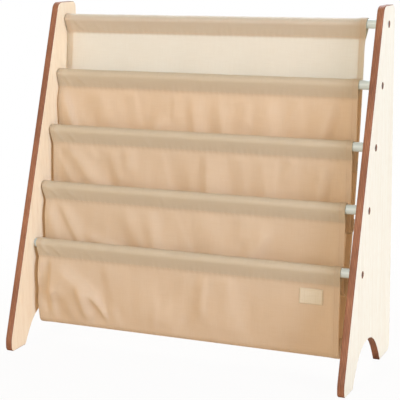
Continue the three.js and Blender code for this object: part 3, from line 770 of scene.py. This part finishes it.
class HungCloth:
    """A cloth that hangs along a line in side view. Its places are given on the flat cut."""

    def __init__(self, rod, line, fold):
        self.rod, self.line, self.fold = rod, line, fold
        self.run = [0.0]
        for a, b in zip(line, line[1:]):
            self.run.append(self.run[-1] + (b - a).length)
        self.length = self.run[-1]
        self.top = self.run[SLEEVE_STEPS // 2 + 1]  # on top of the rod
        self.seam = self.along_at(rods[rod].y - SLEEVE_DROP + SEAM_ABOVE_END)

    @functools.cache
    def point(self, along):
        """A place on the line in side view, given its distance along the line."""
        along = min(max(along, 0), self.length)
        i = next(i for i in range(1, len(self.run)) if self.run[i] >= along)
        share = (along - self.run[i - 1]) / (self.run[i] - self.run[i - 1])
        return self.line[i - 1].lerp(self.line[i], share)

    def along_at(self, height):
        """Where the front of the cloth passes a height, measured along the line."""
        top = max(range(len(self.line)), key=lambda i: self.line[i].y)
        i = next(i for i in range(top, len(self.line)) if self.line[i].y <= height)
        a, b = self.line[i - 1], self.line[i]
        return self.run[i - 1] + (self.run[i] - self.run[i - 1]) * (a.y - height) / (a.y - b.y)

    def place(self, across, along, lift=0.0):
        """A point of the hung cloth in millimetres, lifted off its middle towards its outside."""
        spot = self.point(along)
        way = (self.point(along + WAY_STEP) - self.point(along - WAY_STEP)).normalized()
        out = Vector((way.y, -way.x))
        from_left = across < sling_width / 2
        inset, layer = turn_hem(across if from_left else sling_width - across)
        share = inset / sling_width if from_left else 1 - inset / sling_width
        near_hem = 1 - smooth_rise((inset - HEM) / HEM_FADE)
        drop = rods[self.rod].y - spot.y
        on_sleeve = smooth_rise((self.seam - along) / SEAM_FADE)
        drawn = smooth_rise((drop + EDGE_START) / EDGE_REACH)
        (left_top, left_low), (right_top, right_low) = slid[self.rod]
        x = (sling_left + share * sling_width + (1 - share) * (left_top + (left_low - left_top) * drawn)
             + share * (right_top + (right_low - right_top) * drawn))
        near_seam = math.exp(-((along - self.seam) / PUCKER_REACH) ** 2)
        pucker = near_seam * PUCKER_HEIGHT * math.sin(across * 2 * math.pi / PUCKER_PITCH)
        waver = on_sleeve * ripple(x, along, SLEEVE_RIPPLE, self.rod * 5.1)
        if along > self.top:
            waver += on_sleeve * sum(crease_height(across, drop, c) for c in sleeve_creases[self.rod])
        hemmed = layer + SLEEVE_HEM * on_sleeve
        offset = lift + hemmed * near_hem + pucker * (1 - near_hem) + waver
        spot = spot + out * offset
        return Vector((x, spot.x - self.fold(x, spot.x, spot.y), spot.y))


def cloth_columns():
    """Places across the flat cloth: close in the hems, even between them."""
    close = [-HEM, -7.5, -4, -1.6, -0.8, -0.4, 0, 0.4, 0.8, 1.6, 4, 7.5, HEM]
    spare = sling_width - 2 * HEM
    count = round(spare / GRID)
    even = [HEM + spare * i / count for i in range(1, count)]
    return close + even + [sling_width - c for c in reversed(close)]


def hang(name, cloth, material, stands_for):
    """Makes the flat grid of a cloth, hangs it and gives it its thickness."""
    columns = cloth_columns()
    count = round(cloth.length / GRID)
    rows = [cloth.length * i / count for i in range(count + 1)]
    bm = bmesh.new()
    bmesh.ops.create_grid(bm, x_segments=len(columns) - 1, y_segments=count, size=1)
    flat = {}
    for vert in bm.verts:
        column = round((vert.co.x + 1) / 2 * (len(columns) - 1))
        row = round((vert.co.y + 1) / 2 * count)
        flat[vert] = (columns[column], rows[row])
        vert.co = cloth.place(*flat[vert]) * MM
    cut = bm.loops.layers.uv.new("flat_cut")
    for face in bm.faces:
        for loop in face.loops:
            loop[cut].uv = Vector(flat[loop.vert]) * MM
    piece = add_piece(name, bm, material, [stands_for], 180)
    shell = piece.modifiers.new("cloth_thickness", "SOLIDIFY")
    shell.thickness, shell.offset = CLOTH * MM, 0
    size = ((sling_width + 2 * HEM) * MM, cloth.length * MM)
    print(name, "is cut", round(size[0] / MM), "by", round(size[1] / MM), "mm")
    return piece, size


cloths = {1: HungCloth(1, sheet_line(), sheet_fold)}
for rod in range(2, 6):
    cloths[rod] = HungCloth(rod, pocket_line(rod), functools.partial(pocket_fold, rod))
hung = {1: hang("sling_back", cloths[1], backlit_canvas_copy, "back_sheet")}
for rod in range(2, 6):
    hung[rod] = hang(f"sling_pocket_{rod - 1}", cloths[rod], canvas, f"pocket_front_{rod - 1}")
# the painted backlight copy covers only the top field: behind the pockets the sheet takes the plain
# canvas, as it is seen in light that has come through the fronts
back_mesh = hung[1][0].data
back_mesh.materials.append(canvas)
for face in back_mesh.polygons:
    face.material_index = int(face.center.z < rods[2].y * MM)

# %% [markdown]
# ## Stitches and label
#
# Lock stitches of about 3.5 mm hold the sleeves, the side hems and the pockets' feet. Each stitch
# is a small stretched ball of twenty faces that is half sunk in the cloth, because there are
# thousands of them. The label is a piece of cotton tape, sewn on along its four sides. It is bare.

# %% Stitch the cloths
STITCH, STITCH_LENGTH, STITCH_RADIUS = 3.5, 2.7, 0.32


def sew(bm, cloth, start, end, lift):
    """Adds a row of stitches between two places on a cloth's flat cut."""
    run = Vector(end) - Vector(start)
    count = round(run.length / STITCH)
    for i in range(count):
        middle = Vector(start) + run * (i + 0.5) / count
        step = run.normalized() * 0.5
        along = cloth.place(*(middle + step), lift) - cloth.place(*(middle - step), lift)
        turn = along.to_track_quat("X", "Z").to_matrix().to_4x4()
        size = Matrix.Diagonal((STITCH_LENGTH / 2, STITCH_RADIUS, STITCH_RADIUS, 1))
        at = Matrix.Translation(cloth.place(*middle, lift) * MM)
        bmesh.ops.create_icosphere(bm, subdivisions=1, radius=MM, matrix=at @ turn @ size)


SKIN = CLOTH / 2
HEM_SEAM = 9.0  # from a folded edge
FOOT_SEAMS = (4.0, 10.0)  # above the start of a pocket's hem
SEAM_SHORT = 4.0  # a side seam stops this far from the end of a pocket front
for rod, cloth in cloths.items():
    bm = bmesh.new()
    sew(bm, cloth, (HEM_SEAM, cloth.seam), (sling_width - HEM_SEAM, cloth.seam), SKIN)
    last = cloth.length - (SEAM_SHORT if rod > 1 else 2)
    for across in (HEM_SEAM, sling_width - HEM_SEAM):
        sew(bm, cloth, (across, cloth.top), (across, last), SKIN)
    if rod == 1:
        for pocket in range(2, 6):
            for above in FOOT_SEAMS:
                height = cloth.along_at(pocket_foot(pocket)[4] + above)
                if height < cloth.length - 1:
                    sew(bm, cloth, (HEM_SEAM, height), (sling_width - HEM_SEAM, height), -SKIN)
    stitches = add_piece(f"stitches_{rod}", bm, thread, smooth_degrees=180)
    print(stitches.name, "has", len(stitches.data.polygons) // 20, "stitches")

# %% Sew on the label
label_low, label_high = (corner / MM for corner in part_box("label"))
pocket = cloths[5]
LABEL_CLOTH, LABEL_STEPS = 0.5, 24
LABEL_GAP, LABEL_SEAM, LABEL_FRAY = 0.15, 1.6, 0.25
SLID = 3.2  # the pocket has slid this far to the right where the label is
label_along = (pocket.along_at(label_high.z), pocket.along_at(label_low.z))
label_across = [corner.x - sling_left - SLID for corner in (label_low, label_high)]
label_size = [side[1] - side[0] for side in (label_across, label_along)]
bm = bmesh.new()
bmesh.ops.create_grid(bm, x_segments=LABEL_STEPS, y_segments=LABEL_STEPS, size=1)
flat = {}
for vert in bm.verts:
    across = label_across[0] + (vert.co.x + 1) / 2 * label_size[0]
    along = label_along[0] + (vert.co.y + 1) / 2 * label_size[1]
    fray = LABEL_FRAY * noise.noise(Vector((across * 1.7, along * 1.7, 9.0)))
    flat[vert] = (across + fray * abs(vert.co.x) ** 6, along + fray * abs(vert.co.y) ** 6)
    vert.co = pocket.place(*flat[vert], SKIN + LABEL_CLOTH / 2 + LABEL_GAP) * MM
cut = bm.loops.layers.uv.new("flat_cut")
for face in bm.faces:
    for loop in face.loops:
        loop[cut].uv = Vector(flat[loop.vert]) * MM
label = add_piece("cotton_label", bm, label_weave, ["label"], 180)
shell = label.modifiers.new("cloth_thickness", "SOLIDIFY")
shell.thickness, shell.offset = LABEL_CLOTH * MM, 0
bm = bmesh.new()
(x0, x1), (y0, y1) = ((a[0] + LABEL_SEAM, a[1] - LABEL_SEAM) for a in (label_across, label_along))
corners = [(x0, y0), (x1, y0), (x1, y1), (x0, y1)]
for start, end in zip(corners, corners[1:] + corners[:1]):
    sew(bm, pocket, start, end, SKIN + LABEL_CLOTH + LABEL_GAP)
label_stitches = add_piece("stitches_label", bm, thread, smooth_degrees=180)
